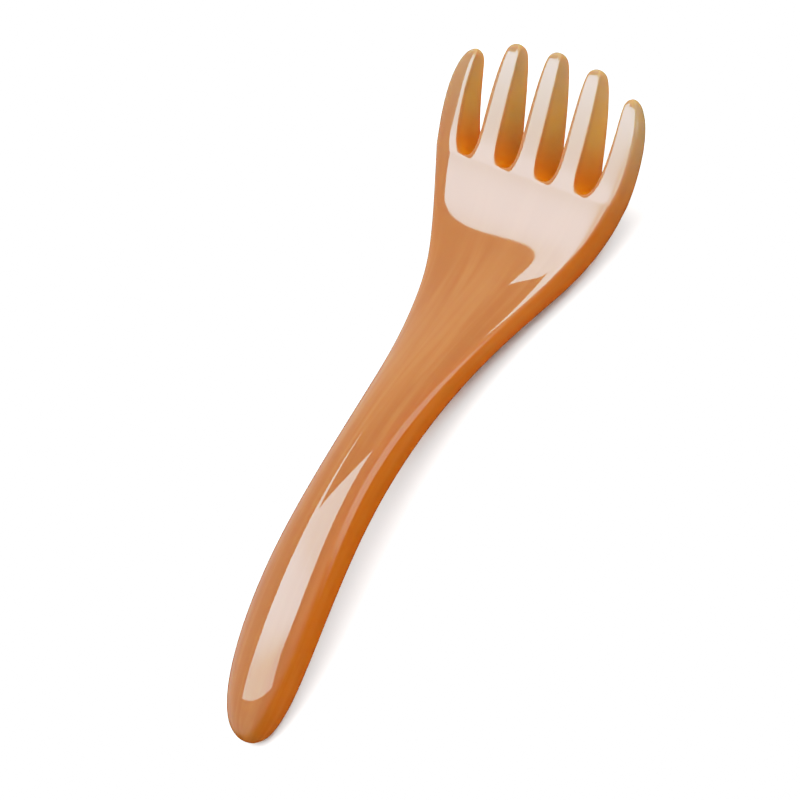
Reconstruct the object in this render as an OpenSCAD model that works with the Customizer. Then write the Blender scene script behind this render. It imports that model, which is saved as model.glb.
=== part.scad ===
// Scalp massage comb: one solid piece, an arched handle that flattens into a palm with five claw teeth.
// X runs from the handle end to the teeth, Y across, Z up. The comb lies on the back of its palm and
// on the heel of its handle, teeth up, with the origin under the middle of its box.

/* [Handle] */
// Widest part of the grip
grip_w = 22.2; // [18:0.1:26]
// Thickest part of the grip
grip_t = 14.4; // [11:0.1:18]
// Angle of the handle end to the table, in degrees
heel_pitch = 23.34; // [18:0.02:28]

/* [Palm] */
// Width across the palm where the slots begin
palm_w = 60.7; // [50:0.1:70]
// Thickness at the sides of the palm
palm_side_t = 7.4; // [6:0.1:11]
// How deep the front of the palm is dished
front_dish = 0.8; // [0:0.1:2.5]
// How far the back bulges in the middle
back_dome = 6.1; // [2:0.1:8]

/* [Teeth] */
// From the middle tooth to its neighbours, at the root
tooth_pitch = 13.1; // [11:0.1:15]
// Width of a tooth near its root
tooth_w = 5.8; // [4:0.1:8]
// How much wider an outer tooth is, at the root
outer_extra = 2.1; // [0:0.1:4]
// Length of the middle tooth
middle_length = 31.8; // [26:0.1:42]
// Length of the teeth beside it
second_length = 30.7; // [24:0.1:40]
// Length of the outer teeth
outer_length = 26.2; // [20:0.1:36]
// Softness of the edges on the front
front_edge = 0.8; // [0.5:0.1:1.6]
// Softness of the edges on the back
back_edge = 1.3; // [0.5:0.1:2]

/* [Hidden] */
resin = [0.79, 0.50, 0.28];

hw = grip_w / 2;
ht = grip_t / 2;
pw = palm_w / 2;
pt = palm_side_t / 2;
tw = tooth_w / 2;

// The side view is a chain of arcs along the middle of the thickness: length of the arc, turn in degrees.
ARC_LENGTH = 0;
ARC_TURN = 1;
arcs = [
  [33, -9.6],
  [31, -14.0],
  [31, -9.7],
  [31, 1.6],
  [31, 32.8],
  [62, 1.3]
];

// Sections from the heel to the slots: how far along, half width, half thickness at the side, roundness,
// dish, and how evenly the columns of points are spread. Roundness is 1 for an ellipse and 0 for a flat palm
// with full round sides. Columns that are not spread evenly lie close to the rims of the teeth.
ALONG = 0;
HALF_W = 1;
HALF_T = 2;
ROUND = 3;
DISH = 4;
SPREAD = 5;
slots_at = 159.4;
rim_dish = 0.28 * front_dish;
sections = [
  [0.5, 0.235 * hw, 0.26 * ht, 1, 0, 1],
  [2.3, 0.49 * hw, 0.52 * ht, 1, 0, 1],
  [5.7, 0.665 * hw, 0.72 * ht, 1, 0, 1],
  [12.4, 0.855 * hw, 0.91 * ht, 1, 0, 1],
  [25.8, 1.00 * hw, 0.92 * ht, 1, 0, 1],
  [46.5, 0.965 * hw, 0.97 * ht, 1, 0, 1],
  [68.2, 0.83 * hw, 1.03 * ht, 1, 0, 1],
  [88.8, 0.885 * hw, 0.98 * ht, 1, 0, 1],
  [104.3, 1.005 * hw, 0.855 * ht, 0.85, 0.24 * front_dish, 1],
  [116.7, 0.465 * pw, 0.745 * ht, 0.77, 0.46 * front_dish, 1],
  [128.0, 0.582 * pw, 1.29 * pt, 0.61, 0.84 * front_dish, 1],
  [138.4, 0.74 * pw, 1.19 * pt, 0.24, 1.02 * front_dish, 1],
  [147.1, 0.865 * pw, 1.11 * pt, 0.09, 0.49 * front_dish, 0.8],
  [153.9, 0.944 * pw, 1.05 * pt, 0, rim_dish, 0.35],
  [slots_at - front_edge, 0.99 * pw, pt, 0, rim_dish, 0],
  [slots_at, pw, pt, 0, rim_dish, 0]
];

// Each tooth from its root: share of its length, half width, half depth, extra on the outer teeth.
SHARE = 0;
TOOTH_W = 1;
TOOTH_D = 2;
EXTRA = 3;
tooth_steps = [
  [0.115, 1.02 * tw, 0.85 * pt, 0.85 * outer_extra],
  [0.30, 1.03 * tw, 0.80 * pt, 0.72 * outer_extra],
  [0.58, 1.00 * tw, 0.74 * pt, 0.62 * outer_extra],
  [0.82, 0.88 * tw, 0.63 * pt, 0.40 * outer_extra],
  [0.95, 0.70 * tw, 0.49 * pt, -0.07 * outer_extra]
];

// A tooth flares at its root, so that each slot ends in a round bottom.
flare = 1.24;
root_half = tw + flare;

// Middle, second and outer tooth: centre at the root, drift of the tip, bow outwards, length.
ROOT_Y = 0;
DRIFT = 1;
BOW = 2;
LENGTH = 3;
teeth = [
  [0, 0, 0, middle_length],
  [tooth_pitch, 0, 1.6, second_length],
  [pw - tw - outer_extra, 0.8, 6.7, outer_length]
];

tooth_count = 5;
middle = 2;
columns = 4 * tooth_count;
ring = 2 * columns + 4;
ring_step = 360 / ring;
last = len(sections) - 1;
steps = len(tooth_steps);

// A soft edge takes at most this share of half a tooth, of its width or of its depth.
edge_limit = 0.45;
// An outer tooth's round side, its nose, takes this share of the depth, and at most this share of the width.
nose_share = 0.95;
nose_limit = 0.75;
// Where the line on a nose runs, as a share of the nose's width, and how high, as a share of the depth.
nose_line = 0.37;
nose_level = 0.864;
// The two outermost points of a round side: how far from the middle, and how far they stand out, in depths.
side_level = 0.33;
side_out = 0.015;

// Where a point of the side view lies: x, z and the pitch there, after walking the arcs.
function walk(s, i = 0, x = 0, z = 0, pitch = heel_pitch) =
  let (length = arcs[i][ARC_LENGTH])
  let (bend = arcs[i][ARC_TURN] / length)
  let (d = (i == len(arcs) - 1) ? s : min(s, length))
  let (r = 180 / PI / bend)
  let (next = pitch + bend * d)
  let (nx = x + r * (sin(next) - sin(pitch)))
  let (nz = z + r * (cos(pitch) - cos(next)))
  (i == len(arcs) - 1 || s <= length) ? [nx, nz, next] : walk(s - length, i + 1, nx, nz, next);

// A point of the section at s: y across, w out of the middle towards the front.
function place(s, y, w) =
  let (p = walk(s))
  [p[0] - w * sin(p[2]), y, p[1] + w * cos(p[2])];

function is_outer_edge(t, k) = (t == 0 && k == 0) || (t == tooth_count - 1 && k == 3);

// The four lines along tooth t, from its centre: edge, inside edge, inside edge, edge.
function tooth_lines(t, half, extra, depth, edge) =
  let (lo = -half - (t == 0 ? extra : 0))
  let (hi = half + (t == tooth_count - 1 ? extra : 0))
  let (e = min(edge, edge_limit * half))
  let (nose = min(nose_share * depth, nose_limit * (hi - lo)))
  [
    t == 0 ? lo + nose_line * nose : lo,
    t == 0 ? lo + nose : lo + e,
    t == tooth_count - 1 ? hi - nose : hi - e,
    t == tooth_count - 1 ? hi - nose_line * nose : hi
  ];

function tooth_centre(t, share) =
  let (row = teeth[abs(t - middle)])
  sign(t - middle) * (row[ROOT_Y] + row[DRIFT] * share + row[BOW] * share * (1 - share));

// Shares of the half width at which the lines of the teeth cross the palm.
function palm_shares(edge) = [
  for (t = [0 : tooth_count - 1])
    for (y = tooth_lines(t, root_half, outer_extra - flare, pt, edge))
      (tooth_centre(t, 0) + y) / pw
];
front_shares = palm_shares(front_edge);
back_shares = palm_shares(back_edge);

// The handle's columns are spread evenly, because pairs of close lines would show as ripples in the polish.
function evenly(shares) =
  let (first = shares[1])
  let (final = shares[columns - 2])
  [
    for (j = [0 : columns - 1])
      (j == 0 || j == columns - 1) ? shares[j] : first + (final - first) * (j - 1) / (columns - 3)
  ];
front_even = evenly(front_shares);
back_even = evenly(back_shares);

// A point on the front (up = 1) or the back (up = -1) of section k, in column j.
function face_point(k, j, up) =
  let (s = sections[k])
  let (m = s[ROUND])
  let (rim = up > 0 ? front_shares[j] : back_shares[j])
  let (even = up > 0 ? front_even[j] : back_even[j])
  let (c = (1 - m) * (rim + s[SPREAD] * (even - rim)) + m * sin((j - (columns - 1) / 2) * ring_step))
  let (level = (j == 0 || j == columns - 1) ? nose_level : 1)
  let (bulge = up > 0 ? -s[DISH] * (1 - pow(c, 2)) : back_dome * (1 - m) * (1 - pow(c, 4)))
  place(s[ALONG], s[HALF_W] * c, up * (s[HALF_T] * ((1 - m) * level + m * sqrt(1 - c * c)) + bulge));

// A point on the round side of section k.
function side_point(k, side, up) =
  let (s = sections[k])
  let (m = s[ROUND])
  let (angle = (columns + 1) / 2 * ring_step)
  place(s[ALONG],
    side * ((1 - m) * (s[HALF_W] + side_out * s[HALF_T]) + m * s[HALF_W] * sin(angle)),
    up * s[HALF_T] * ((1 - m) * side_level + m * cos(angle)));

// One ring: 20 points across the front, 2 down one side, 20 back across, 2 up the other side.
function ring_point(k, i) =
  i < columns ? face_point(k, i, 1) :
  i < columns + 2 ? side_point(k, 1, i == columns ? 1 : -1) :
  i < ring - 2 ? face_point(k, 2 * columns + 1 - i, -1) :
  side_point(k, -1, i == ring - 1 ? 1 : -1);

// The heel closes with two inner rows of points on a rounded end, which stands so far out in the middle.
heel_out = 0.45;
heel_points = [
  for (j = [1 : columns - 2])
    let (angle = (j - (columns - 1) / 2) * ring_step)
    let (s = sections[0])
    for (up = [1, -1])
      place(s[ALONG] - heel_out * pow(cos(angle), 2), s[HALF_W] * sin(angle), up * s[HALF_T] * cos(angle) / 3)
];

// Inner points where a tooth's side wall meets the bottom of a slot.
function slot_point(j, up) =
  let (c = front_shares[j])
  let (edge = up > 0 ? front_edge : back_edge)
  let (bulge = up > 0 ? -rim_dish * (1 - pow(c, 2)) : back_dome * (1 - pow(c, 4)))
  place(slots_at, pw * c, up * (pt - edge + bulge));
slot_columns = [for (g = [0 : tooth_count - 2]) for (j = [4 * g + 3, 4 * g + 4]) j];
slot_points = [for (j = slot_columns) for (up = [1, -1]) slot_point(j, up)];

// A tooth's ring has 12 points, as [line, row] with row 3 in front and row 0 at the back.
tooth_loop = [
  [0, 3], [1, 3], [2, 3], [3, 3], [3, 2], [3, 1], [3, 0], [2, 0], [1, 0], [0, 0], [0, 1], [0, 2]
];

function tooth_point(t, q, k, row) =
  let (step = tooth_steps[q])
  let (half = step[TOOTH_W])
  let (d = step[TOOTH_D])
  let (extra = step[EXTRA])
  let (s = slots_at + teeth[abs(t - middle)][LENGTH] * step[SHARE])
  let (front = row >= 2)
  let (edge = front ? front_edge : back_edge)
  let (c = front_shares[4 * t + k])
  let (root_bulge = front ? -rim_dish * (1 - pow(c, 2)) : back_dome * (1 - pow(c, 4)))
  let (bulge = root_bulge * (1 - step[SHARE]))
  let (outer = is_outer_edge(t, k))
  let (lines = tooth_lines(t, half, extra, d, edge))
  let (wall = k == 0 ? -half - (t == 0 ? extra : 0) : half + (t == tooth_count - 1 ? extra : 0))
  let (inner_row = row == 1 || row == 2)
  let (y = inner_row ? wall + (outer ? sign(wall) * side_out * d : 0) : lines[k])
  let (w_inner = outer ? side_level * d : d - min(edge, edge_limit * d))
  let (w = inner_row ? w_inner : (outer ? nose_level * d : d))
  place(s, tooth_centre(t, step[SHARE]) + y, (front ? 1 : -1) * (w + bulge));

// The inner points of a tip: how far past its last ring, and how high as a share of the depth.
tip_out = 1.2;
tip_level = 0.4;
function tip_point(t, k, up) =
  let (step = tooth_steps[steps - 1])
  let (s = slots_at + teeth[abs(t - middle)][LENGTH] * step[SHARE] + tip_out)
  let (lines = tooth_lines(t, step[TOOTH_W], step[EXTRA], step[TOOTH_D], front_edge))
  place(s, tooth_centre(t, step[SHARE]) + lines[k], up * tip_level * step[TOOTH_D]);

tooth_points = [
  for (t = [0 : tooth_count - 1])
    each concat(
      [for (q = [0 : steps - 1]) for (p = tooth_loop) tooth_point(t, q, p[0], p[1])],
      [for (k = [1, 2]) for (up = [1, -1]) tip_point(t, k, up)])
];

ring_points = [for (k = [0 : last]) for (i = [0 : ring - 1]) ring_point(k, i)];
cage_points = concat(ring_points, heel_points, slot_points, tooth_points);

heel_start = len(ring_points);
slot_start = heel_start + len(heel_points);
tooth_start = slot_start + len(slot_points);
tooth_size = steps * len(tooth_loop) + 4;

// Number of the point at column j and row 0 (back) to 3 (front) of a ring's own sheet.
function sheet(k, j, row, inner) =
  row == 3 ? ring * k + j :
  row == 0 ? ring * k + 2 * columns + 1 - j :
  j == 0 ? ring * k + ring - 3 + row :
  j == columns - 1 ? ring * k + columns + 2 - row :
  inner;
function heel(j, row) = sheet(0, j, row, heel_start + 2 * (j - 1) + (row == 2 ? 0 : 1));
function slot_number(j) = 2 * floor((j - 3) / 4) + (j % 4 == 3 ? 0 : 1);
function root(j, row) = sheet(last, j, row, slot_start + 2 * slot_number(j) + (row == 2 ? 0 : 1));
function loop_number(k, row) = search([[k, row]], tooth_loop)[0];
function tip(t, k, row) =
  let (start = tooth_start + t * tooth_size)
  ((k == 1 || k == 2) && (row == 1 || row == 2))
    ? start + steps * len(tooth_loop) + 2 * (k - 1) + (row == 2 ? 0 : 1)
    : start + (steps - 1) * len(tooth_loop) + loop_number(k, row);

cage_faces = concat(
  [for (k = [0 : last - 1]) for (i = [0 : ring - 1])
    let (n = (i + 1) % ring)
    [ring * k + i, ring * k + n, ring * (k + 1) + n, ring * (k + 1) + i]],
  [for (j = [0 : columns - 2]) for (row = [0 : 2])
    [heel(j, row), heel(j + 1, row), heel(j + 1, row + 1), heel(j, row + 1)]],
  [for (g = [0 : tooth_count - 2]) for (row = [0 : 2])
    let (j = 4 * g + 3)
    [root(j, row), root(j, row + 1), root(j + 1, row + 1), root(j + 1, row)]],
  [for (t = [0 : tooth_count - 1]) for (q = [0 : steps - 1]) for (i = [0 : len(tooth_loop) - 1])
    let (n = (i + 1) % len(tooth_loop))
    let (start = tooth_start + t * tooth_size + q * len(tooth_loop))
    let (below_i = q > 0 ? start - len(tooth_loop) + i : root(4 * t + tooth_loop[i][0], tooth_loop[i][1]))
    let (below_n = q > 0 ? start - len(tooth_loop) + n : root(4 * t + tooth_loop[n][0], tooth_loop[n][1]))
    [below_i, below_n, start + n, start + i]],
  [for (t = [0 : tooth_count - 1]) for (k = [0 : 2]) for (row = [0 : 2])
    [tip(t, k, row), tip(t, k, row + 1), tip(t, k + 1, row + 1), tip(t, k + 1, row)]]
);

// One round of Catmull-Clark smoothing turns the coarse cage of four-sided faces into the smooth skin.
function mean(list) = [for (v = list) 1] * list / len(list);
function smooth_skin(points, faces) =
  let (count = len(points))
  let (from = [for (f = faces) for (v = f) v])
  let (to = [for (f = faces) for (c = [0 : 3]) f[(c + 1) % 4]])
  let (edges = len(from))
  let (key = [for (h = [0 : edges - 1]) from[h] * count + to[h]])
  let (twin = search([for (h = [0 : edges - 1]) to[h] * count + from[h]], key))
  let (centre = [for (f = faces) mean([for (v = f) points[v]])])
  let (edge_points = [
    for (h = [0 : edges - 1])
      (points[from[h]] + points[to[h]] + centre[floor(h / 4)] + centre[floor(twin[h] / 4)]) / 4
  ])
  let (corner_points = [
    for (i = [0 : count - 1])
      let (around = search(i, from, 0))
      let (n = len(around))
      let (faces_mean = mean([for (h = around) centre[floor(h / 4)]]))
      let (edges_mean = mean([for (h = around) (points[i] + points[to[h]]) / 2]))
      (faces_mean + 2 * edges_mean + (n - 3) * points[i]) / n
  ])
  let (edge_number = [for (h = [0 : edges - 1]) count + min(h, twin[h])])
  [
    concat(corner_points, edge_points, centre),
    [for (f = [0 : len(faces) - 1]) for (c = [0 : 3])
      let (before = 4 * f + (c + 3) % 4)
      [faces[f][c], edge_number[4 * f + c], count + edges + f, edge_number[before]]]
  ];

function lowest(points, axis) = min([for (p = points) p[axis]]);
function highest(points, axis) = max([for (p = points) p[axis]]);

module comb() {
  skin = smooth_skin(cage_points, cage_faces);
  points = skin[0];
  faces = [for (f = skin[1]) each [[f[0], f[1], f[2]], [f[0], f[2], f[3]]]];
  middle_x = (lowest(points, 0) + highest(points, 0)) / 2;
  color(resin)
    translate([-middle_x, 0, -lowest(points, 2)])
      polyhedron(points = points, faces = faces, convexity = 6);
}

comb();
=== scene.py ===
# %% [markdown]
# # A scalp massage comb in honey-coloured resin
# The real comb is a single piece: cut from a thick sheet, bent while warm, then polished until it shines.
# It has an arched handle for the fist, a palm that widens from it, and five claw teeth.
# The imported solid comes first, because its box says how large the finished comb is and where it lies.

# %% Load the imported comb
import math
import bmesh
import bpy
from mathutils import Matrix, Quaternion, Vector


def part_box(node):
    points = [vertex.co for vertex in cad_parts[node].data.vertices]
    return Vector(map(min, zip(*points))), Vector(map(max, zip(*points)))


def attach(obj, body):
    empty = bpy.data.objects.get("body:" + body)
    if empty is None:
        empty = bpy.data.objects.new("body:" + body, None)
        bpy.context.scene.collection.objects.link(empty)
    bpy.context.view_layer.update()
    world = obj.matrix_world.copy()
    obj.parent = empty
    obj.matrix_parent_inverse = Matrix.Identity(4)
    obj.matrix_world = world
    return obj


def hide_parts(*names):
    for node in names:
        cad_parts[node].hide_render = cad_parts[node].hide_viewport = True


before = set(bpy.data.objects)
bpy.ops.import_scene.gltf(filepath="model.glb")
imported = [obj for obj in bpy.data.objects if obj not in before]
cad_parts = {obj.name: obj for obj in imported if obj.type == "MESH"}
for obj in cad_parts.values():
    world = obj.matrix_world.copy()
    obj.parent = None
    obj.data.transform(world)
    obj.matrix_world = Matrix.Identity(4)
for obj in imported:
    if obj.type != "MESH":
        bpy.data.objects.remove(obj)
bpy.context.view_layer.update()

bpy.ops.object.select_all(action="DESELECT")
solid_low, solid_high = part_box("comb")
print("packed comb, in mm:", [round(1000 * side, 2) for side in solid_high - solid_low])

# %% [markdown]
# ## The camera
# The comb lies on its back and is seen from above and from its side, with the teeth at the upper right.
# A camera can be aimed with a Track To constraint, but a rolled view is easier to set from three angles:
# where it stands round the comb, how high it looks down from, and how far it is rolled about its own line
# of sight.
# It stands a metre away with a long lens, so that the comb keeps its proportions as in a catalogue picture.

# %% Camera
MM = 0.001
camera_round = -104.49
camera_above = 49.8
camera_roll = -49.49
camera_distance = 1.0326
camera_aim = Vector((-1.36, 0.41, 14.77)) * MM

turn = math.radians(camera_round)
lift = math.radians(camera_above)
to_camera = Vector((math.cos(lift) * math.cos(turn), math.cos(lift) * math.sin(turn), math.sin(lift)))
bpy.ops.object.camera_add(location=camera_aim + camera_distance * to_camera)
camera = bpy.context.object
camera.name = "camera"
camera.data.lens = 189.6
camera.data.clip_end = 20
level_view = to_camera.to_track_quat("Z", "Y")
camera.rotation_mode = "QUATERNION"
camera.rotation_quaternion = Quaternion(to_camera, math.radians(camera_roll)) @ level_view
bpy.context.scene.camera = camera
print("camera at", [round(x, 3) for x in camera.location])

# %% [markdown]
# ## The side view
# Seen from the side the comb is a low arch that sweeps up again into the palm.
# Such a line could be a Bezier curve, but a chain of arcs is how a maker would bend the blank,
# and it gives the slope at every point, which is needed to set each section square to the line.

# %% Walk along the side view
heel_pitch = 23.34
ARCS = (
    # length, turn in degrees
    (33, -9.6),
    (31, -14.0),
    (31, -9.7),
    (31, 1.6),
    (31, 32.8),
    (62, 1.3),
)


def walk(along):
    """Place and slope of the middle of the thickness, that far along the comb from its heel, in mm."""
    x = z = 0.0
    slope = math.radians(heel_pitch)
    for number, (length, bend) in enumerate(ARCS):
        last_arc = number == len(ARCS) - 1
        step = along if last_arc else min(along, length)
        curve = math.radians(bend) / length
        after = slope + curve * step
        x += (math.sin(after) - math.sin(slope)) / curve
        z += (math.cos(slope) - math.cos(after)) / curve
        slope = after
        along -= step
        if along <= 0:
            break
    return x, z, slope


def place(along, across, out):
    """A point across the comb and out of its middle towards the front, in metres."""
    x, z, slope = walk(along)
    return Vector((x - out * math.sin(slope), across, z + out * math.cos(slope))) * MM


slopes = [round(math.degrees(walk(along)[2]), 1) for along in (0, 92, 158)]
print("slope at the heel, the arch and the palm:", slopes)

# %% [markdown]
# ## The sections
# Each section has a half width, a half thickness and a roundness: an ellipse in the grip, a flat slab with
# full round sides in the palm. Twenty columns of points run the length of the comb, four for each tooth:
# its two edges, and a line close inside each edge that keeps the edge crisp when the cage is smoothed.
# The outer teeth have no outer edge but a round side, a nose, that carries on from the side of the palm.

# %% Sizes in millimetres: half widths and half thicknesses of grip, palm and teeth
hw = 11.1
ht = 7.2
pw = 30.35
pt = 3.7
tw = 2.9
front_dish = 0.8
back_dome = 6.1
rim_dish = 0.28 * front_dish
front_edge = 0.8
back_edge = 1.3
outer_extra = 2.1
slots_at = 159.4
flare = 1.24

# %% Round sides, as shares of the depth unless said otherwise
edge_limit = 0.45  # an edge, at most, of half the tooth's width or of its depth
nose_share = 0.95
nose_limit = 0.75  # at most, of the tooth's width
nose_line = 0.37  # where the line on a nose runs, of the nose's width
nose_level = 0.864
side_level = 0.33
side_out = 0.015
heel_out = 0.45  # in millimetres
tip_out = 1.2  # in millimetres
tip_level = 0.4
print("a tooth's edges are softened over", front_edge, "mm in front and", back_edge, "mm at the back")

# %% Sections and teeth
SECTIONS = (
    # along, half width, half thickness, roundness, dish, share of evenly spread columns
    (0.5, 0.235 * hw, 0.26 * ht, 1, 0, 1),
    (2.3, 0.49 * hw, 0.52 * ht, 1, 0, 1),
    (5.7, 0.665 * hw, 0.72 * ht, 1, 0, 1),
    (12.4, 0.855 * hw, 0.91 * ht, 1, 0, 1),
    (25.8, 1.00 * hw, 0.92 * ht, 1, 0, 1),
    (46.5, 0.965 * hw, 0.97 * ht, 1, 0, 1),
    (68.2, 0.83 * hw, 1.03 * ht, 1, 0, 1),
    (88.8, 0.885 * hw, 0.98 * ht, 1, 0, 1),
    (104.3, 1.005 * hw, 0.855 * ht, 0.85, 0.24 * front_dish, 1),
    (116.7, 0.465 * pw, 0.745 * ht, 0.77, 0.46 * front_dish, 1),
    (128.0, 0.582 * pw, 1.29 * pt, 0.61, 0.84 * front_dish, 1),
    (138.4, 0.74 * pw, 1.19 * pt, 0.24, 1.02 * front_dish, 1),
    (147.1, 0.865 * pw, 1.11 * pt, 0.09, 0.49 * front_dish, 0.8),
    (153.9, 0.944 * pw, 1.05 * pt, 0, rim_dish, 0.35),
    (slots_at - front_edge, 0.99 * pw, pt, 0, rim_dish, 0),
    (slots_at, pw, pt, 0, rim_dish, 0),
)
TOOTH_STEPS = (
    # share of the length, half width, half depth, extra on the outer teeth
    (0.115, 1.02 * tw, 0.85 * pt, 0.85 * outer_extra),
    (0.30, 1.03 * tw, 0.80 * pt, 0.72 * outer_extra),
    (0.58, 1.00 * tw, 0.74 * pt, 0.62 * outer_extra),
    (0.82, 0.88 * tw, 0.63 * pt, 0.40 * outer_extra),
    (0.95, 0.70 * tw, 0.49 * pt, -0.07 * outer_extra),
)
TEETH = (
    # centre at the root, drift of the tip, bow outwards, length
    (0, 0, 0, 31.8),
    (13.1, 0, 1.6, 30.7),
    (pw - tw - outer_extra, 0.8, 6.7, 26.2),
)
TOOTH_COUNT = 5
MIDDLE_TOOTH = 2
COLUMNS = 4 * TOOTH_COUNT
RING_STEP = math.radians(360 / (2 * COLUMNS + 4))


def tooth_centre(tooth, share):
    """How far across the middle of a tooth lies, at that share of its length."""
    side = tooth - MIDDLE_TOOTH
    root, drift, bow, _ = TEETH[abs(side)]
    return math.copysign(1, side) * (root + drift * share + bow * share * (1 - share)) if side else 0.0


def tooth_length(tooth):
    return TEETH[abs(tooth - MIDDLE_TOOTH)][3]


def tooth_lines(tooth, half, extra, depth, edge):
    """The four lines along a tooth, from its middle. An outer tooth has a nose instead of an edge."""
    low = -half - (extra if tooth == 0 else 0)
    high = half + (extra if tooth == TOOTH_COUNT - 1 else 0)
    crisp = min(edge, edge_limit * half)
    nose = min(nose_share * depth, nose_limit * (high - low))
    left = (low + nose_line * nose, low + nose) if tooth == 0 else (low, low + crisp)
    right = (high - nose, high - nose_line * nose) if tooth == TOOTH_COUNT - 1 else (high - crisp, high)
    return left + right


def palm_shares(edge):
    """Shares of the half width at which the lines of the teeth cross the palm."""
    shares = []
    for tooth in range(TOOTH_COUNT):
        for across in tooth_lines(tooth, tw + flare, outer_extra - flare, pt, edge):
            shares.append((tooth_centre(tooth, 0) + across) / pw)
    return shares


def evenly(shares):
    """The same shares with all but the outermost two on each side evenly spread."""
    first, final = shares[1], shares[-2]
    inner = [first + (final - first) * number / (COLUMNS - 3) for number in range(COLUMNS - 2)]
    return [shares[0]] + inner + [shares[-1]]


FRONT_SHARES = palm_shares(front_edge)
BACK_SHARES = palm_shares(back_edge)
EVEN = {3: evenly(FRONT_SHARES), 0: evenly(BACK_SHARES)}
print("teeth stand at", [round(tooth_centre(tooth, 0), 1) for tooth in range(TOOTH_COUNT)], "mm across")


# %% Where the points of a section belong
def ring_place(section, column, row):
    """Row 3 is the front, row 0 the back, and rows 2 and 1 go down the sides, at columns 0 and 19."""
    along, width, thick, roundness, dish, spread = section
    flat = 1 - roundness
    if row in (1, 2):
        side = -1 if column == 0 else 1
        end = (COLUMNS + 1) / 2 * RING_STEP
        across = side * (flat * (width + side_out * thick) + roundness * width * math.sin(end))
        out = thick * (flat * side_level + roundness * math.cos(end))
        return place(along, across, out if row == 2 else -out)
    angle = (column - (COLUMNS - 1) / 2) * RING_STEP
    rim = (FRONT_SHARES if row == 3 else BACK_SHARES)[column]
    share = flat * (rim + spread * (EVEN[row][column] - rim)) + roundness * math.sin(angle)
    level = nose_level if column in (0, COLUMNS - 1) else 1
    bulge = -dish * (1 - share ** 2) if row == 3 else back_dome * flat * (1 - share ** 4)
    out = thick * (flat * level + roundness * math.sqrt(1 - share ** 2)) + bulge
    return place(along, width * share, out if row == 3 else -out)


def heel_place(column, row):
    """The inner points of the rounded end, a little behind the first section."""
    along, width, thick = SECTIONS[0][:3]
    angle = (column - (COLUMNS - 1) / 2) * RING_STEP
    out = thick * math.cos(angle) / 3
    behind = heel_out * math.cos(angle) ** 2
    return place(along - behind, width * math.sin(angle), out if row == 2 else -out)


def slot_place(column, row):
    """The inner points at a tooth's root, where its side wall meets the bottom of a slot."""
    share = FRONT_SHARES[column]
    if row == 2:
        out = pt - front_edge - rim_dish * (1 - share ** 2)
    else:
        out = pt - back_edge + back_dome * (1 - share ** 4)
    return place(slots_at, pw * share, out if row == 2 else -out)


print("the widest section is", round(2 * max(section[1] for section in SECTIONS), 1), "mm wide")

# %% [markdown]
# ## The heel
# The cage starts as a grid that stands across the handle's end: nineteen faces wide and three high.
# A grid has the rows and columns that the teeth need at the far end, which a circle or a cube doesn't.
# Every point remembers its column and row, and points made by an extrusion inherit them.

# %% Add the grid and number its points
bpy.ops.mesh.primitive_grid_add(
    x_subdivisions=COLUMNS - 1, y_subdivisions=3, size=1, location=place(0, 0, 0),
    rotation=(math.pi / 2, 0, math.pi / 2))
comb = bpy.context.object
comb.scale = (2 * hw * MM, 2 * ht * MM, 1)
comb.name = "resin_comb"
comb.data.name = "resin_comb"
bpy.ops.object.transform_apply(location=True, rotation=True, scale=True)
heel_centre = place(0, 0, 0)
column_step = 2 * hw * MM / (COLUMNS - 1)
row_step = 2 * ht * MM / 3
marks = comb.data.attributes
marks.new("column", "INT", "POINT")
marks.new("row", "INT", "POINT")
marks.new("along", "FLOAT", "POINT")
for point in comb.data.vertices:
    column = round((point.co.y - heel_centre.y) / column_step + (COLUMNS - 1) / 2)
    marks["column"].data[point.index].value = column
    marks["row"].data[point.index].value = round((point.co.z - heel_centre.z) / row_step + 1.5)
print("grid:", len(comb.data.vertices), "points,", len(comb.data.polygons), "faces")


# %% Tools for the cage
def cage():
    """The mesh in edit mode, with the layers that number its points."""
    mesh = bmesh.from_edit_mesh(comb.data)
    return mesh, mesh.verts.layers.int["column"], mesh.verts.layers.int["row"]


def drag(point, target):
    """Moves one point, as a hand would drag it."""
    point.select_set(True)
    bpy.ops.transform.translate(value=target - point.co)
    point.select_set(False)


def is_inner(column, row):
    return row in (1, 2) and 0 < column < COLUMNS - 1


bpy.ops.object.mode_set(mode="EDIT")
bpy.ops.mesh.select_mode(type="VERT")
bpy.ops.mesh.select_all(action="DESELECT")
mesh, column_of, row_of = cage()
for point in list(mesh.verts):
    column, row = point[column_of], point[row_of]
    if is_inner(column, row):
        drag(point, heel_place(column, row))
    else:
        drag(point, ring_place(SECTIONS[0], column, row))
print("heel set, its first section is", round(2 * SECTIONS[0][1], 1), "mm wide")

# %% [markdown]
# ## Handle and palm
# The sheet of nineteen by three faces is extruded along the comb, once for each section,
# and the points of its rim are moved to their places. Lofting between profile curves would do the same,
# but its points don't line up with the teeth. Here every column already knows which tooth it will become.

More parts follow.
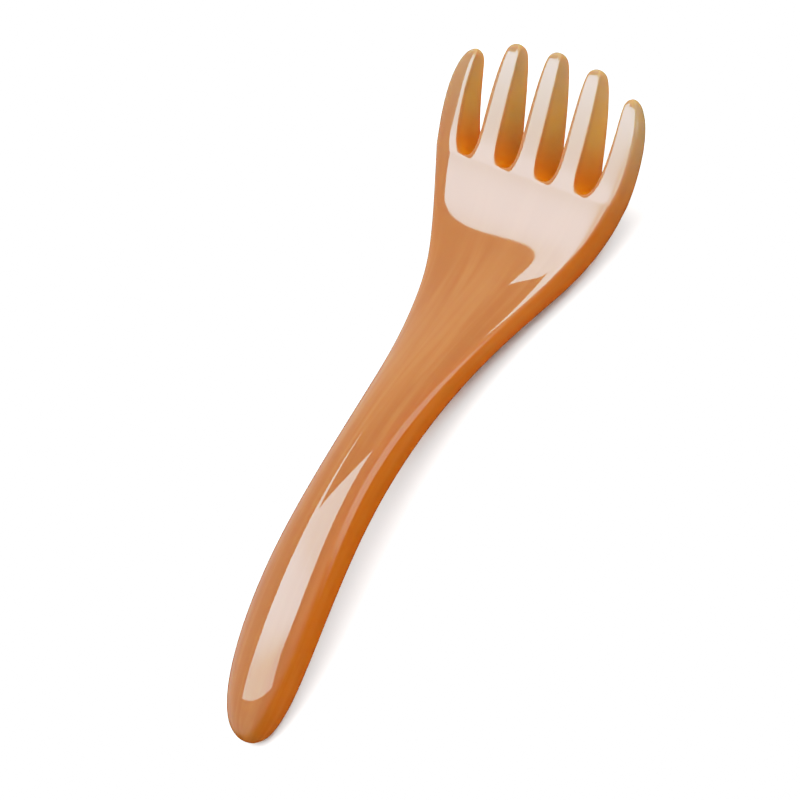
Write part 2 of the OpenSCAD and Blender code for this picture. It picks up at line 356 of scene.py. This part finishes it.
# %% Extrude the handle and the palm
bpy.ops.mesh.select_mode(type="FACE")
bpy.ops.mesh.select_all(action="SELECT")
for number, section in enumerate(SECTIONS[1:], start=1):
    step = (section[0] - SECTIONS[number - 1][0]) * MM
    bpy.ops.mesh.extrude_region_move(TRANSFORM_OT_translate={"value": (step, 0, 0)})
    mesh, column_of, row_of = cage()
    along_of = mesh.verts.layers.float["along"]
    sheet = [face for face in mesh.faces if face.select]
    points = [point for point in mesh.verts if point.select]
    bpy.ops.mesh.select_all(action="DESELECT")
    bpy.ops.mesh.select_mode(type="VERT")
    for point in points:
        column, row = point[column_of], point[row_of]
        point[along_of] = section[0]
        if not is_inner(column, row):
            drag(point, ring_place(section, column, row))
        elif number == len(SECTIONS) - 1 and column % 4 in (0, 3):
            drag(point, slot_place(column, row))
    bpy.ops.mesh.select_mode(type="FACE")
    for face in sheet:
        face.select_set(True)
print("handle and palm:", len(mesh.verts), "points")

# %% [markdown]
# ## The teeth
# The sheet at the palm's edge has three by three faces for each tooth and one column of faces between them.
# All teeth are extruded at once, in five steps, and the columns between them stay behind as slot bottoms.
# Extruding keeps the root and the palm one skin, so the slots get soft round bottoms with no boolean cut.


# %% Where the points of a tooth belong
def tooth_place(tooth, line, row, step):
    """A point of a tooth's ring. The side walls are straight, and an outer side is round."""
    share, half, depth, extra = step
    along = slots_at + tooth_length(tooth) * share
    root_share = FRONT_SHARES[4 * tooth + line]
    if row >= 2:
        edge, bulge = front_edge, -rim_dish * (1 - root_share ** 2) * (1 - share)
    else:
        edge, bulge = back_edge, back_dome * (1 - root_share ** 4) * (1 - share)
    outer = (tooth, line) in ((0, 0), (TOOTH_COUNT - 1, 3))
    across = tooth_lines(tooth, half, extra, depth, edge)[line]
    out = nose_level * depth if outer else depth
    if row in (1, 2):
        reach = half + (extra if tooth in (0, TOOTH_COUNT - 1) and outer else 0)
        across = math.copysign(reach + (side_out * depth if outer else 0), -1 if line == 0 else 1)
        out = side_level * depth if outer else depth - min(edge, edge_limit * depth)
    out += bulge
    return place(along, tooth_centre(tooth, share) + across, out if row >= 2 else -out)


def tip_place(tooth, line, row):
    """The four inner points of a tip stand proud of its last ring, which closes it as a blunt round end."""
    share, half, depth, extra = TOOTH_STEPS[-1]
    along = slots_at + tooth_length(tooth) * share + tip_out
    across = tooth_centre(tooth, share) + tooth_lines(tooth, half, extra, depth, front_edge)[line]
    return place(along, across, tip_level * depth if row == 2 else -tip_level * depth)


print("the teeth are", [tooth_length(tooth) for tooth in range(TOOTH_COUNT)], "mm long")

# %% Extrude the teeth
bpy.ops.mesh.select_all(action="DESELECT")
for face in sheet:
    if len({point[column_of] // 4 for point in face.verts}) == 1:
        face.select_set(True)
for step in TOOTH_STEPS:
    bpy.ops.mesh.extrude_region_move(TRANSFORM_OT_translate={"value": (MM, 0, 0)})
    mesh, column_of, row_of = cage()
    ends = [face for face in mesh.faces if face.select]
    points = [point for point in mesh.verts if point.select]
    bpy.ops.mesh.select_all(action="DESELECT")
    bpy.ops.mesh.select_mode(type="VERT")
    along_of = mesh.verts.layers.float["along"]
    for point in points:
        tooth, line = divmod(point[column_of], 4)
        row = point[row_of]
        point[along_of] = slots_at + tooth_length(tooth) * step[0]
        if not (line in (1, 2) and row in (1, 2)):
            drag(point, tooth_place(tooth, line, row, step))
        elif step is TOOTH_STEPS[-1]:
            drag(point, tip_place(tooth, line, row))
    bpy.ops.mesh.select_mode(type="FACE")
    for face in ends:
        face.select_set(True)
bpy.ops.mesh.select_all(action="SELECT")
bpy.ops.mesh.normals_make_consistent(inside=False)
bpy.ops.object.mode_set(mode="OBJECT")
print("cage:", len(comb.data.vertices), "points,", len(comb.data.polygons), "faces")

# %% [markdown]
# ## Coordinates for the resin
# Resin that is cast or drawn has its clouds along the piece, so the material needs to know where a point
# lies along the bent comb and how deep under the front, which also sets a painted shade. A picture wrapped
# round it would need an unwrap with seams. Numbers on every point do it without one, and subdivision spreads
# them smoothly. One more number marks the walls between the teeth, which get a painted glow of the light
# that came in from both sides.

# %% Number the points: across, depth under the front, and slot walls
marks = comb.data.attributes
marks.new("across", "FLOAT", "POINT")
marks.new("wall", "FLOAT", "POINT")
marks.new("depth", "FLOAT", "POINT")
for point in comb.data.vertices:
    along = marks["along"].data[point.index].value
    x, z, slope = walk(along)
    out = (point.co.z / MM - z) * math.cos(slope) - (point.co.x / MM - x) * math.sin(slope)
    marks["depth"].data[point.index].value = -out
    column, row = (marks[name].data[point.index].value for name in ("column", "row"))
    marks["across"].data[point.index].value = column
    marks["wall"].data[point.index].value = is_inner(column, row) and along > 0
depths = [item.value for item in marks["depth"].data]
print("depth runs from", round(min(depths), 1), "to", round(max(depths), 1), "mm")

# %% [markdown]
# ## Smooth it
# A Subdivision Surface modifier turns the cage into the soft polished skin. It is applied in two goes:
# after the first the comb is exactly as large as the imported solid, so that is when it is set onto it.
# The second go adds two more levels, enough for clean reflections, and stays inside the solid.


# %% Subdivide and set in place
def subdivide(levels, limit):
    smooth = comb.modifiers.new("smooth", "SUBSURF")
    smooth.levels = levels
    smooth.render_levels = levels
    smooth.use_limit_surface = limit
    bpy.ops.object.modifier_apply(modifier=smooth.name)


def low_corner():
    return Vector([min(point.co[axis] for point in comb.data.vertices) for axis in range(3)])


subdivide(1, False)
comb.location = solid_low - low_corner()
bpy.ops.object.transform_apply(location=True, rotation=False, scale=False)
subdivide(2, True)
bpy.ops.object.shade_smooth()
# How much the skin faces sideways; the resin uses it for painted shade on the sides and painted light at the
# tips.
comb.data.attributes.new("side", "FLOAT", "POINT")
facing = comb.data.attributes["side"].data
for point in comb.data.vertices:
    facing[point.index].value = abs(point.normal.y)
print("skin:", len(comb.data.polygons), "faces,", [round(1000 * side, 2) for side in comb.dimensions], "mm")

# %% [markdown]
# ## The resin
# The real finish is a cloudy, see-through caramel: light goes in, spreads, and comes out warmer.
# Glass with a coloured volume would show that too, but it is slow and noisy. Subsurface scattering in the
# Principled BSDF gives the same soft glow, with red light travelling furthest and blue hardly at all.
# The body is honey with faint lengthwise clouds. Light and shade are painted over it: a deep orange painted
# shade underneath and on the sideways faces, a painted orange glow on the slot walls, and a painted paler
# olive towards the tips, where light shows through the thinner resin.


# %% Material helpers
def add_node(tree, kind, **values):
    """Adds a node, sets its properties, and its inputs where the name starts with a capital letter."""
    node = tree.nodes.new(kind)
    for name, value in values.items():
        if name[0].isupper():
            node.inputs[name.replace("_", " ")].default_value = value
        else:
            setattr(node, name, value)
    return node


def srgb(red, green, blue):
    """A colour read off a screen, as the linear values that a shader needs."""
    def linear(value):
        value /= 255
        return value / 12.92 if value <= 0.04045 else ((value + 0.055) / 1.055) ** 2.4
    return (linear(red), linear(green), linear(blue), 1)


def link(tree, source, target):
    tree.links.new(source, target)


def math_node(tree, operation, first, second=None, clamp=False):
    """A maths node. Each operand is a number or a socket."""
    node = add_node(tree, "ShaderNodeMath", operation=operation, use_clamp=clamp)
    for number, operand in enumerate((first, second)):
        if isinstance(operand, (int, float)):
            node.inputs[number].default_value = operand
        elif operand is not None:
            link(tree, operand, node.inputs[number])
    return node.outputs[0]


def fade(tree, value, start, end, low=0.0, high=1.0):
    """Goes smoothly from low at start to high at end."""
    node = add_node(tree, "ShaderNodeMapRange", interpolation_type="SMOOTHSTEP")
    for name, number in (("From Min", start), ("From Max", end), ("To Min", low), ("To Max", high)):
        node.inputs[name].default_value = number
    link(tree, value, node.inputs["Value"])
    return node.outputs["Result"]


def blend(tree, share, first, second):
    """Mixes two colours. Each is a socket or a colour."""
    node = add_node(tree, "ShaderNodeMix", data_type="RGBA", blend_type="MIX")
    if isinstance(share, (int, float)):
        node.inputs[0].default_value = share
    else:
        link(tree, share, node.inputs[0])
    for socket, colour in ((node.inputs[6], first), (node.inputs[7], second)):
        if isinstance(colour, tuple):
            socket.default_value = colour
        else:
            link(tree, colour, socket)
    return node.outputs[2]


def attribute(tree, name):
    return add_node(tree, "ShaderNodeAttribute", attribute_name=name).outputs["Fac"]


# %% Colours of the resin
HONEY = srgb(114, 67, 18)
HONEY_CLOUD = srgb(124, 78, 33)
# Painted light: a paler olive where light shows through the thinner tips
OLIVE_TIP_PAINTED_LIGHT = srgb(112, 97, 70)
# Painted shade: deep orange underneath and on the sideways faces
PAINTED_SHADE_ORANGE = srgb(138, 65, 0)
# Painted glow and shade on the slot walls: orange at the roots, tan further out, olive at the tips
PAINTED_SLOT_ORANGE = srgb(163, 85, 1)
PAINTED_SLOT_TAN = srgb(148, 110, 53)
PAINTED_SLOT_TIP = srgb(127, 103, 70)
CLOUD_GRAIN = (
    # number on the point, how much of the pattern one unit of it takes
    ("along", 0.012),
    ("across", 0.32),
    ("depth", 0.12),
)
print("honey:", [round(share, 3) for share in HONEY[:3]])

# %% Clouds in the resin
resin = bpy.data.materials.new("honey_resin")
resin.use_nodes = True
tree = resin.node_tree
shader = tree.nodes["Principled BSDF"]
stretched = add_node(tree, "ShaderNodeCombineXYZ")
for axis, (name, grain) in enumerate(CLOUD_GRAIN):
    link(tree, math_node(tree, "MULTIPLY", attribute(tree, name), grain), stretched.inputs[axis])
clouds = add_node(tree, "ShaderNodeTexNoise", Scale=1.0, Detail=3.0, Roughness=0.5, Distortion=0.6)
link(tree, stretched.outputs[0], clouds.inputs["Vector"])
cloud = fade(tree, clouds.outputs["Fac"], 0.38, 0.68)
along = attribute(tree, "along")
calm = fade(tree, along, 155, 125, 0.3, 1.0)
swing = math_node(tree, "MULTIPLY", math_node(tree, "SUBTRACT", cloud, 0.5), calm)
honey = blend(tree, math_node(tree, "ADD", swing, 0.5), HONEY, HONEY_CLOUD)
print("clouds calm down towards the palm")

# %% Painted light and shade: olive tips, deep orange underneath and on the sides, glow in the slots
side = attribute(tree, "side")
# Painted light: the tips paler olive, more so where the skin faces sideways
pale = math_node(tree, "MULTIPLY", fade(tree, along, 150, 190), fade(tree, side, 0.1, 0.6, 0.6, 1.0))
olive = blend(tree, pale, honey, OLIVE_TIP_PAINTED_LIGHT)
before_tips = fade(tree, along, 178, 138)
# Painted shade: deep orange, stronger further under the front and on faces turned sideways, fading out
# before the tips
under = math_node(tree, "MULTIPLY", fade(tree, attribute(tree, "depth"), -3.5, 3.0, 0.0, 0.85), before_tips)
painted_shade_side = math_node(tree, "MULTIPLY", fade(tree, side, 0.3, 0.9, 0.0, 0.4), before_tips)
warm = blend(tree, math_node(tree, "MAXIMUM", under, painted_shade_side), olive, PAINTED_SHADE_ORANGE)
# Painted glow and shade on the walls between the teeth
painted_wall_colour = blend(tree, fade(tree, along, 158, 174), PAINTED_SLOT_ORANGE, PAINTED_SLOT_TAN)
painted_slot_colour = blend(tree, fade(tree, along, 173, 191), painted_wall_colour, PAINTED_SLOT_TIP)
link(tree, blend(tree, attribute(tree, "wall"), warm, painted_slot_colour), shader.inputs["Base Color"])
print("the resin's colour is made by", len(tree.nodes), "nodes")

# %% Gloss and the light inside
shader.inputs["Roughness"].default_value = 0.025
shader.inputs["IOR"].default_value = 1.5
shader.inputs["Subsurface Weight"].default_value = 0.7
shader.inputs["Subsurface Radius"].default_value = (1.0, 0.4, 0.1)
shader.inputs["Subsurface Scale"].default_value = 0.006
comb.data.materials.clear()
comb.data.materials.append(resin)
print(resin.name, "on", comb.name)

# %% [markdown]
# ## Floor and light
# The floor is a plain pale sweep. Reflections draw this comb: one large sharp-edged softbox card is mirrored
# in the flat front and as a stripe along the grip. A square card would do, but a studio card is masked until
# its reflection ends where it should, so this one has eight corners and glows unevenly from end to end.
# A dimmer strip on the near side draws the soft line along the neck. Both are seen in reflections only:
# a large soft light above, a smaller one from the side and a tilted pale sky do the lighting.

# %% Floor
bpy.ops.mesh.primitive_plane_add(size=6, location=(0, 0, 0))
floor = bpy.context.object
floor.name = "floor"
floor_paint = bpy.data.materials.new("pale_floor")
floor_paint.use_nodes = True
floor_shader = floor_paint.node_tree.nodes["Principled BSDF"]
floor_shader.inputs["Base Color"].default_value = srgb(245, 245, 244)
floor_shader.inputs["Roughness"].default_value = 0.9
floor.data.materials.append(floor_paint)
floor.visible_glossy = False
print("floor laid, hidden from reflections")


# %% Paint that shines
def glow_paint(name, colour, unit, *fades):
    """Its strength changes along the object's own X, counted in units. Several fades are multiplied."""
    paint = bpy.data.materials.new(name)
    paint.use_nodes = True
    tree = paint.node_tree
    tree.nodes.clear()
    own_place = add_node(tree, "ShaderNodeTexCoord")
    axes = add_node(tree, "ShaderNodeSeparateXYZ")
    link(tree, own_place.outputs["Object"], axes.inputs[0])
    share = math_node(tree, "DIVIDE", axes.outputs["X"], unit)
    strength = 1
    for start, end, low, high in fades:
        strength = math_node(tree, "MULTIPLY", fade(tree, share, start, end, low, high), strength)
    emission = add_node(tree, "ShaderNodeEmission", Color=colour)
    link(tree, strength, emission.inputs["Strength"])
    output = add_node(tree, "ShaderNodeOutputMaterial")
    link(tree, emission.outputs["Emission"], output.inputs["Surface"])
    return paint


# %% Softbox card
card_axis = Vector((-0.2631, 0.5628, 0.7836))
card_right = Vector((0.9543, 0.0321, 0.2973))
card_up = Vector((-0.1422, -0.826, 0.5455))
card_distance = 2.8
card_faces = Vector((3.0, 0, 15.3)) * MM
CARD_CORNERS = (
    # to the right and up, as shares of the distance
    (-0.42, -0.105),
    (0.10, -0.088),
    (0.66, -0.082),
    (0.31, 0.045),
    (0.54, 0.48),
    (1.05, 1.40),
    (-0.20, 1.10),
    (-0.75, 1.80),
)
bpy.ops.mesh.primitive_circle_add(vertices=len(CARD_CORNERS), radius=1, fill_type="NGON")
card = bpy.context.object
card.name = "softbox_card"
for corner, (right, up) in zip(card.data.vertices, CARD_CORNERS):
    corner.co = card_distance * Vector((right, up, 0))
card.rotation_euler = Matrix((card_right, card_up, card_right.cross(card_up))).transposed().to_euler()
card.location = card_faces + card_distance * card_axis
card_fades = ((-0.22, 0.0, 7.7, 12.9), (0.08, 0.26, 1.0, 0.84))
card.data.materials.append(glow_paint("softbox_glow", (0.93, 0.93, 1, 1), card_distance, *card_fades))
print("card at", [round(x, 2) for x in card.location])

# %% Strip on the near side
bpy.ops.mesh.primitive_plane_add(size=1, location=(0.4, -2.5, 1.7), rotation=(math.pi / 2, 0, 0))
strip = bpy.context.object
strip.name = "edge_strip"
strip.scale = (1.3, 1.5, 1)
strip.data.materials.append(glow_paint("strip_glow", (1, 1, 1, 1), 1, (-0.5, 0.1, 0.5, 3.6)))
for reflector in (card, strip):
    reflector.visible_diffuse = False
    reflector.visible_camera = False
    reflector.visible_shadow = False
    reflector.visible_transmission = False
    reflector.visible_volume_scatter = False
print("card and strip are seen in reflections only")


# %% Soft lights
def soft_light(name, stands_at, size, power):
    """A square area light that looks at the comb."""
    bpy.ops.object.light_add(type="AREA", location=stands_at)
    light = bpy.context.object
    light.name = name
    light.data.shape = "SQUARE"
    light.data.size = size
    light.data.energy = power
    light.rotation_euler = Vector(stands_at).to_track_quat("Z", "Y").to_euler()
    light.visible_glossy = False
    print(name, power, "W")


soft_light("top_light", (-0.2, 0.2, 2.2), 2.4, 110)
soft_light("fill_light", (0.9, -0.9, 1.2), 1.0, 40)

# %% Sky
brightest_way = (0, 0.5, 0.85)
dark_room = (0.05, 0.03, 0.02, 1)
white_sky = (1, 1, 1, 1)
world = bpy.data.worlds.new("studio")
world.use_nodes = True
bpy.context.scene.world = world
sky = world.node_tree
direction = add_node(sky, "ShaderNodeTexCoord")
tilt = add_node(sky, "ShaderNodeVectorMath", operation="DOT_PRODUCT")
tilt.inputs[1].default_value = brightest_way
link(sky, direction.outputs["Generated"], tilt.inputs[0])
above = fade(sky, tilt.outputs["Value"], -0.1, 0.35)
link(sky, blend(sky, above, dark_room, white_sky), sky.nodes["Background"].inputs["Color"])
sky.nodes["Background"].inputs["Strength"].default_value = 1.2
print("sky is brightest towards", brightest_way)

# %% [markdown]
# ## The film
# A bright card in a polished surface would burn out to plain white. A film has a shoulder that keeps its
# tint: tones up to a pale grey stay as they are, and the brightest are pressed together below white.
# Less exposure would save the highlight too, but it would grey the floor.

# %% Film curve
view = bpy.context.scene.view_settings
view.view_transform = "Standard"
view.use_curve_mapping = True
film = view.curve_mapping
film.use_clip = False
film.clip_max_x = 2
film.clip_max_y = 2
film.extend = "HORIZONTAL"
for channel in film.curves:
    channel.points[1].location = (1.7, 1.7)
SHOULDER = (
    # light in, tone out
    (0.3, 0.3),
    (0.6, 0.6),
    (1.07, 0.83),
)
shoulder = film.curves[3]
shoulder.points[1].location = (1.45, 1.0)
for light_in, tone_out in SHOULDER:
    shoulder.points.new(light_in, tone_out)
film.update()
film.initialize()
print("film curve ends at", [round(value, 2) for value in shoulder.points[-1].location])

# %% [markdown]
# ## Ride on the imported comb
# The resin skin stands for the imported solid and rides on its one body.

# %% Ride on the imported comb
bpy.ops.object.select_all(action="DESELECT")
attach(comb, "root")
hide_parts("comb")
